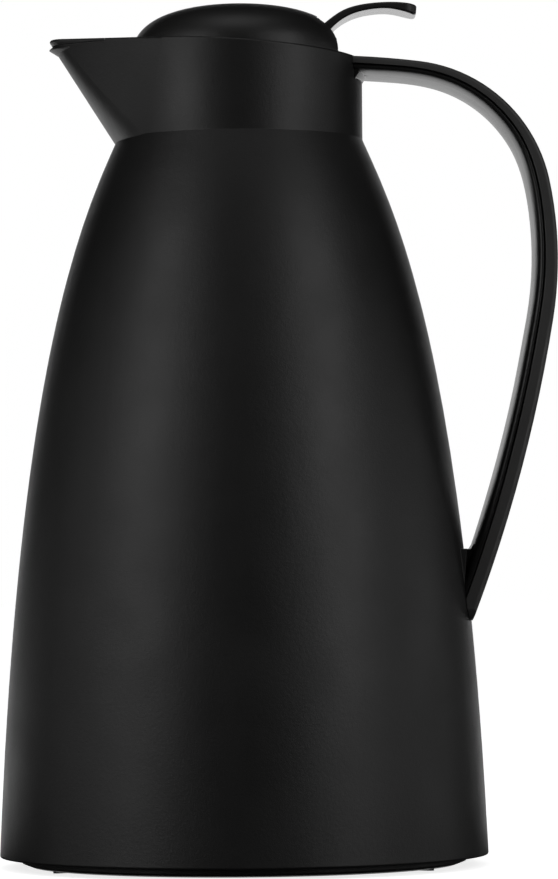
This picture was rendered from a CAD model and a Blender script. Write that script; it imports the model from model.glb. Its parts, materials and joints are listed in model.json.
import json
from math import atan2, cos, degrees, pi, radians, sin

import bmesh
import bpy
from mathutils import Matrix, Vector


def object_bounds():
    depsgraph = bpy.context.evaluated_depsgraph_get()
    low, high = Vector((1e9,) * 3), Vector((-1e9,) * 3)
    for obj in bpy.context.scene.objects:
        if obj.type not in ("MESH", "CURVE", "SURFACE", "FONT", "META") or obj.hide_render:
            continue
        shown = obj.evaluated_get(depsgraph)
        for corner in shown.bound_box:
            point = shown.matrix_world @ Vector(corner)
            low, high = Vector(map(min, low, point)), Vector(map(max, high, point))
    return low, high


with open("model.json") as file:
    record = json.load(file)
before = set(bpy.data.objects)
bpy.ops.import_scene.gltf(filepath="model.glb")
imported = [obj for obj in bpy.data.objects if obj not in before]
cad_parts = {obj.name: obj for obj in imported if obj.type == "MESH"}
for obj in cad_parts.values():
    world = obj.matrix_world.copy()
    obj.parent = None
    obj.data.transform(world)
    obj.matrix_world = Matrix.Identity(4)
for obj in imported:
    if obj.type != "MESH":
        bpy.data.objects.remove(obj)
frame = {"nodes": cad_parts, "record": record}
cad_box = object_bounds()
nodes = frame["nodes"]

# Camera, in metres, degrees and millimetres
CAMERA_AT = (0.01124, -1.312, 0.08113)
LOOKS_UP = 2.015
ROLLED = -0.423
LENS = 179.22
SENSOR = 36.0

# Studio, in metres, and in degrees round the object from the camera's side
MIDDLE = Vector((0, 0, 0.13))
FLOOR_RADIUS = 30
FLOOR_GREY = 0.8
FLOOR_GLOW = 0.77
WORLD_DIM = 0.3
CARD_GLOW = 0.01
DOME_RADIUS = 4.0
CLOTH_FROM = -120
CLOTH_TO = 140
CLOTH_NEAR = 0.02
CLOTH_FAR = 3.9
CLOTH_LIFT = 0.0008
CLOTH_STEPS = 48
BACK_HALF = 24
BACK_TOP = 1.6
KEY_TURN = 51


# ---------------------------------------------------------------- shader nodes
def add(tree, kind, inputs=(), **settings):
    node = tree.nodes.new(kind)
    for name, value in settings.items():
        setattr(node, name, value)
    for name, value in dict(inputs).items():
        if isinstance(value, bpy.types.NodeSocket):
            tree.links.new(value, node.inputs[name])
        else:
            node.inputs[name].default_value = value
    return node


def new_tree(name):
    material = bpy.data.materials.new(name)
    material.use_nodes = True
    material.node_tree.nodes.clear()
    return material, material.node_tree


def place(tree):
    return add(tree, "ShaderNodeTexCoord").outputs["Object"]


def noise(tree, at, scale, detail=2.0, rough=0.5):
    inputs = {"Vector": at, "Scale": scale, "Detail": detail, "Roughness": rough}
    return add(tree, "ShaderNodeTexNoise", inputs).outputs[0]


def remap(tree, value, low, high, to_low, to_high):
    inputs = {"Value": value, "From Min": low, "From Max": high, "To Min": to_low, "To Max": to_high}
    return add(tree, "ShaderNodeMapRange", inputs, clamp=True).outputs[0]


def calc(tree, how, a, b):
    return add(tree, "ShaderNodeMath", {0: a, 1: b}, operation=how).outputs[0]


def mixed(tree, share, a, b):
    return add(tree, "ShaderNodeMix", {0: share, 6: a, 7: b}, data_type="RGBA").outputs[2]


def shifted(tree, colour, amount):
    return add(tree, "ShaderNodeHueSaturation", {"Color": colour, "Value": amount}).outputs[0]


def bump(tree, height, strength, distance, normal=None):
    inputs = {"Height": height, "Strength": strength, "Distance": distance}
    if normal:
        inputs["Normal"] = normal
    return add(tree, "ShaderNodeBump", inputs).outputs[0]


def softened(tree, radius):
    return add(tree, "ShaderNodeBevel", {"Radius": radius}, samples=6).outputs[0]


def edges(tree, radius, sharp=0.97):
    plain = add(tree, "ShaderNodeNewGeometry").outputs["Normal"]
    dot = add(tree, "ShaderNodeVectorMath", {0: softened(tree, radius), 1: plain}, operation="DOT_PRODUCT")
    return remap(tree, dot.outputs["Value"], 1.0, sharp, 0.0, 1.0)


def surface(tree, **inputs):
    named = {name.replace("_", " "): value for name, value in inputs.items()}
    shader = add(tree, "ShaderNodeBsdfPrincipled", named)
    add(tree, "ShaderNodeOutputMaterial", {"Surface": shader.outputs[0]})


# ------------------------------------------------------------------- materials
def grey(value, warm=1.0):
    return (value * warm, value, value / warm, 1.0)


def looks_down(tree):
    """One on faces that look down, zero on level and upper ones."""
    normal = add(tree, "ShaderNodeNewGeometry").outputs["Normal"]
    level = add(tree, "ShaderNodeSeparateXYZ", {0: normal}).outputs["Z"]
    return remap(tree, level, -0.3, -0.75, 0.0, 1.0)


def moulded(name, tone, roughness, grain, depth, edge=0.0005, smooth_below=0.0):
    material, tree = new_tree(name)
    at = place(tree)
    fine = noise(tree, at, 1 / grain, 3.0, 0.6)
    coarse = noise(tree, at, 0.32 / grain, 1.0)
    patches = remap(tree, noise(tree, at, 160, 3.0), 0.35, 0.7, 0.0, 1.0)
    worn = calc(tree, "MULTIPLY", edges(tree, edge), patches)
    clouds = remap(tree, noise(tree, at, 26, 4.0, 0.55), 0.3, 0.7, 0.86, 1.16)
    speckle = remap(tree, fine, 0.3, 0.7, 0.82, 1.2)
    varied = shifted(tree, shifted(tree, grey(tone, 1.02), clouds), speckle)
    colour = mixed(tree, calc(tree, "MULTIPLY", worn, 0.55), varied, grey(tone * 3.2, 1.02))
    handled = remap(tree, noise(tree, at, 55, 3.0), 0.3, 0.75, -0.03, 0.04)
    sheen = calc(tree, "SUBTRACT", calc(tree, "ADD", handled, roughness), calc(tree, "MULTIPLY", worn, 0.12))
    sheen = calc(tree, "SUBTRACT", sheen, calc(tree, "MULTIPLY", looks_down(tree), smooth_below))
    height = calc(tree, "ADD", fine, calc(tree, "MULTIPLY", coarse, 0.7))
    normal = bump(tree, height, 1.0, depth, softened(tree, edge))
    surface(tree, Base_Color=colour, Roughness=sheen, Normal=normal, Specular_IOR_Level=0.5)
    return material


def silvered(name):
    material, tree = new_tree(name)
    at = place(tree)
    cloudy = remap(tree, noise(tree, at, 40, 4.0), 0.35, 0.7, 0.0, 1.0)
    colour = mixed(tree, cloudy, grey(0.86), grey(0.78, 1.03))
    streak = remap(tree, noise(tree, at, 220, 2.0), 0.4, 0.7, 0.03, 0.09)
    surface(tree, Base_Color=colour, Roughness=streak, Metallic=1.0, Coat_Weight=1.0,
            Normal=bump(tree, noise(tree, at, 30, 2.0), 0.2, 0.0004))
    return material


def fibrous(name, tone):
    material, tree = new_tree(name)
    at = place(tree)
    stretched = add(tree, "ShaderNodeMapping", {"Vector": at, "Scale": (1.0, 1.0, 5.0)}).outputs[0]
    fibre = noise(tree, stretched, 900, 4.0, 0.7)
    colour = mixed(tree, fibre, grey(tone * 0.7, 1.05), grey(tone, 1.03))
    surface(tree, Base_Color=colour, Roughness=0.95, Normal=bump(tree, fibre, 0.8, 0.0003))
    return material


def soft_polymer(name, colour, roughness, see_in=0.0):
    material, tree = new_tree(name)
    at = place(tree)
    fine = noise(tree, at, 1800, 2.0)
    dusty = remap(tree, noise(tree, at, 70, 4.0), 0.35, 0.75, 0.0, 0.3)
    lifted = mixed(tree, dusty, colour, tuple(min(1.0, c * 1.6 + 0.01) for c in colour[:3]) + (1.0,))
    rough = remap(tree, noise(tree, at, 120, 3.0), 0.3, 0.7, roughness - 0.05, roughness + 0.06)
    surface(tree, Base_Color=lifted, Roughness=rough,
            Subsurface_Weight=see_in, Subsurface_Radius=(0.002, 0.002, 0.002),
            Normal=bump(tree, fine, 0.35, 0.00008, softened(tree, 0.0003)))
    return material


def cellular(name, tone):
    material, tree = new_tree(name)
    at = place(tree)
    cells = add(tree, "ShaderNodeTexVoronoi", {"Vector": at, "Scale": 1400.0}).outputs["Distance"]
    colour = mixed(tree, cells, grey(tone * 0.75, 1.06), grey(tone, 1.04))
    surface(tree, Base_Color=colour, Roughness=0.9, Normal=bump(tree, cells, 0.7, 0.0003))
    return material


def turned_steel(name, roughness, along=(1.0, 1.0, 14.0)):
    material, tree = new_tree(name)
    at = place(tree)
    drawn = add(tree, "ShaderNodeMapping", {"Vector": at, "Scale": along}).outputs[0]
    lines = noise(tree, drawn, 900, 3.0, 0.7)
    colour = mixed(tree, lines, grey(0.52), grey(0.66, 1.01))
    rough = remap(tree, lines, 0.3, 0.7, roughness - 0.06, roughness + 0.1)
    surface(tree, Base_Color=colour, Roughness=rough, Metallic=1.0,
            Normal=bump(tree, lines, 0.25, 0.00004, softened(tree, 0.00025)))
    return material


finishes = {
    "casing_plastic": moulded("casing_plastic", 0.0045, 0.45, 0.00034, 0.000045, 0.0003),
    "insert_plastic": moulded("insert_plastic", 0.0045, 0.45, 0.00034, 0.000045, 0.0002),
    "handle_plastic": moulded("handle_plastic", 0.022, 0.5, 0.0003, 0.00004),
    "cover_plastic": moulded("cover_plastic", 0.0045, 0.32, 0.00026, 0.00002),
    "lid_plastic": moulded("lid_plastic", 0.005, 0.45, 0.00032, 0.00004),
    "lever_plastic": moulded("lever_plastic", 0.006, 0.45, 0.00032, 0.00002, 0.0004, 0.32),
    "closure_plastic": moulded("closure_plastic", 0.012, 0.38, 0.0003, 0.00002),
    "base_plastic": moulded("base_plastic", 0.0075, 0.5, 0.00036, 0.00004),
    "silvered_glass": silvered("silvered_glass"),
    "mineral_pad": fibrous("mineral_pad", 0.6),
    "silicone": soft_polymer("silicone", (0.32, 0.31, 0.29, 1.0), 0.45, 0.15),
    "rubber": soft_polymer("rubber", (0.02, 0.02, 0.02, 1.0), 0.6),
    "foot_rubber": soft_polymer("foot_rubber", (0.012, 0.012, 0.012, 1.0), 0.7),
    "foam": cellular("foam", 0.72),
    "steel": turned_steel("steel", 0.28),
    "spring_steel": turned_steel("spring_steel", 0.34, (1.0, 14.0, 1.0)),
}
slot_of = {row["node"]: row["material_slot"] for row in frame["record"]["subparts"]}
for name, node in nodes.items():
    for held in node.material_slots:
        held.material = finishes[slot_of[name]]
    for face in node.data.polygons:
        face.use_smooth = True


# ---------------------------------------------------------------------- studio
def seen_white(tree):
    path = add(tree, "ShaderNodeLightPath")
    some = calc(tree, "MAXIMUM", path.outputs["Is Camera Ray"], path.outputs["Is Glossy Ray"])
    return calc(tree, "MAXIMUM", some, path.outputs["Is Transmission Ray"])


def make_world():
    world = bpy.data.worlds.new("studio")
    bpy.context.scene.world = world
    world.use_nodes = True
    tree = world.node_tree
    tree.nodes.clear()
    dim = add(tree, "ShaderNodeBackground", {"Color": (1, 1, 1, 1), "Strength": WORLD_DIM}).outputs[0]
    white = add(tree, "ShaderNodeBackground", {"Color": (1, 1, 1, 1), "Strength": 1.0}).outputs[0]
    both = add(tree, "ShaderNodeMixShader", {0: seen_white(tree), 1: dim, 2: white}).outputs[0]
    add(tree, "ShaderNodeOutputWorld", {"Surface": both})


def make_floor():
    material, tree = new_tree("floor")
    lit = add(tree, "ShaderNodeBsdfDiffuse", {"Color": grey(FLOOR_GREY)}).outputs[0]
    strength = calc(tree, "MULTIPLY", seen_white(tree), FLOOR_GLOW)
    glow = add(tree, "ShaderNodeEmission", {"Color": (1, 1, 1, 1), "Strength": strength})
    both = add(tree, "ShaderNodeAddShader", {0: lit, 1: glow.outputs[0]}).outputs[0]
    add(tree, "ShaderNodeOutputMaterial", {"Surface": both})
    mesh = bpy.data.meshes.new("floor")
    form = bmesh.new()
    bmesh.ops.create_circle(form, cap_ends=True, segments=96, radius=FLOOR_RADIUS)
    form.to_mesh(mesh)
    form.free()
    mesh.materials.append(material)
    floor = bpy.data.objects.new("floor", mesh)
    floor.location.z = cad_box[0].z
    bpy.context.scene.collection.objects.link(floor)


def from_camera_side(turn, rise, distance):
    a, e = radians(turn), radians(rise)
    return MIDDLE + distance * Vector((sin(a) * cos(e), -cos(a) * cos(e), sin(e)))


def make_lamp(name, turn, rise, distance, wide, high, radiance):
    data = bpy.data.lights.new(name, "AREA")
    data.shape = "RECTANGLE"
    data.size, data.size_y = wide, high
    data.energy = radiance * pi * wide * high
    lamp = bpy.data.objects.new(name, data)
    lamp.location = from_camera_side(turn, rise, distance)
    lamp.rotation_euler = (lamp.location - MIDDLE).to_track_quat("Z", "Y").to_euler()
    bpy.context.scene.collection.objects.link(lamp)


def make_cards():
    """Dark dome, open behind the object, and a dark cloth on the floor before and beside it.

    Only glossy reflections show them.
    """
    material, tree = new_tree("dark_card")
    glow = add(tree, "ShaderNodeEmission", {"Color": (1, 1, 1, 1), "Strength": CARD_GLOW})
    add(tree, "ShaderNodeOutputMaterial", {"Surface": glow.outputs[0]})
    mesh = bpy.data.meshes.new("dark_cards")
    form = bmesh.new()
    bmesh.ops.create_uvsphere(form, u_segments=72, v_segments=36, radius=DOME_RADIUS)
    away = []
    for face in form.faces:
        middle = face.calc_center_median()
        behind = abs(degrees(atan2(middle.x, middle.y))) < BACK_HALF and middle.z < BACK_TOP
        if middle.z < 0 or behind:
            away.append(face)
    bmesh.ops.delete(form, geom=away, context="FACES")
    near, far = [], []
    for step in range(CLOTH_STEPS + 1):
        turn = radians(CLOTH_FROM + (CLOTH_TO - CLOTH_FROM) * step / CLOTH_STEPS)
        for ring, reach in ((near, CLOTH_NEAR), (far, CLOTH_FAR)):
            corner = (reach * sin(turn), -reach * cos(turn), cad_box[0].z + CLOTH_LIFT)
            ring.append(form.verts.new(corner))
    for step in range(CLOTH_STEPS):
        form.faces.new((near[step], far[step], far[step + 1], near[step + 1]))
    form.to_mesh(mesh)
    form.free()
    mesh.materials.append(material)
    cards = bpy.data.objects.new("dark_cards", mesh)
    bpy.context.scene.collection.objects.link(cards)
    cards.visible_camera = False
    cards.visible_diffuse = False
    cards.visible_shadow = False
    cards.visible_transmission = False


def make_camera():
    data = bpy.data.cameras.new("camera")
    data.sensor_width = SENSOR
    data.lens = LENS
    camera = bpy.data.objects.new("camera", data)
    tilt = Matrix.Rotation(radians(90 + LOOKS_UP), 4, "X")
    camera.matrix_world = Matrix.Translation(CAMERA_AT) @ tilt @ Matrix.Rotation(radians(ROLLED), 4, "Z")
    bpy.context.scene.collection.objects.link(camera)
    bpy.context.scene.camera = camera


make_world()
make_floor()
make_cards()
for side, name in ((-1, "left"), (1, "right")):
    make_lamp(name + "_key", side * KEY_TURN, 20, 1.3, 0.66, 1.08, 1.82)
make_lamp("left_fill", -84, 4, 1.3, 0.8, 0.6, 0.55)
make_lamp("right_fill", 96, 0, 1.3, 1.0, 0.5, 0.75)
make_lamp("top_box", -10, 80, 1.4, 0.9, 0.9, 0.8)
make_camera()
bpy.context.scene.view_settings.view_transform = "Standard"
